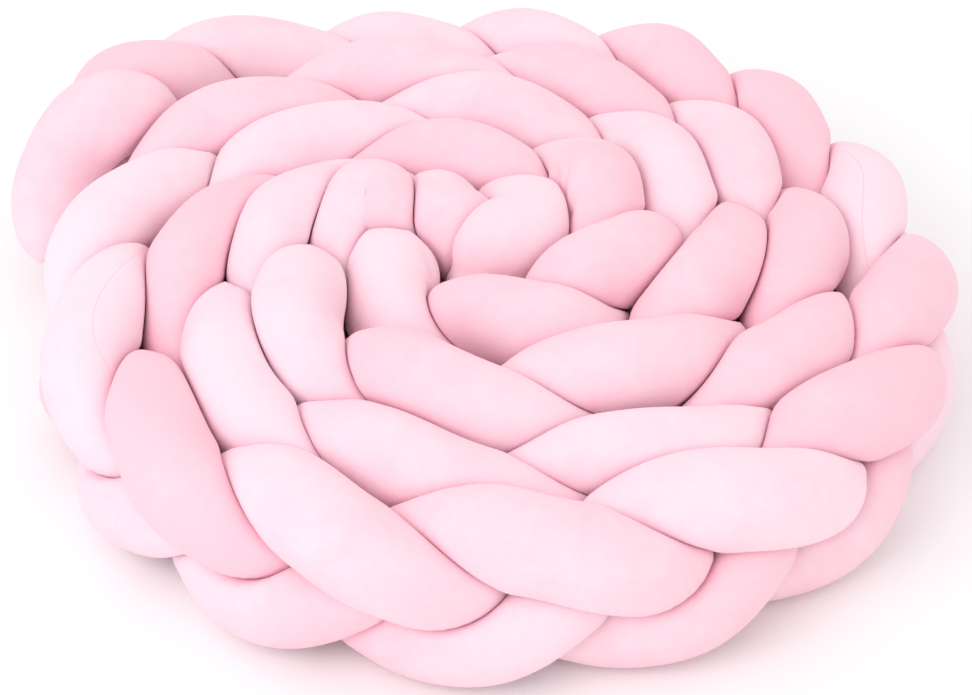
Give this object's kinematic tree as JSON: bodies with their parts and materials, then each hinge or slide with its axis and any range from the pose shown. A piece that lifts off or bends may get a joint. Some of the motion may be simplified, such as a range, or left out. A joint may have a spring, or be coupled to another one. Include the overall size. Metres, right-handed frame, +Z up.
{
  "type": "braided crib bumper",
  "caption": "Long soft braid of stuffed velvet tubes that pads a crib's sides, rolled up flat like a snail on its edge.",
  "frame": {"origin": "on the floor, under the middle of the rolled braid's bounding box", "axes": "+Z up, +Y away from the viewer of the picture, +X to the viewer's right"},
  "size_m": [0.5948, 0.584, 0.1372],
  "materials": {
    "velvet": "pale pink short-pile velvet, matt with a soft sheen"
  },
  "bodies": {
    "root": {"stuffed_tube_1": "velvet", "stuffed_tube_2": "velvet", "stuffed_tube_3": "velvet"}
  },
  "joints": []
}
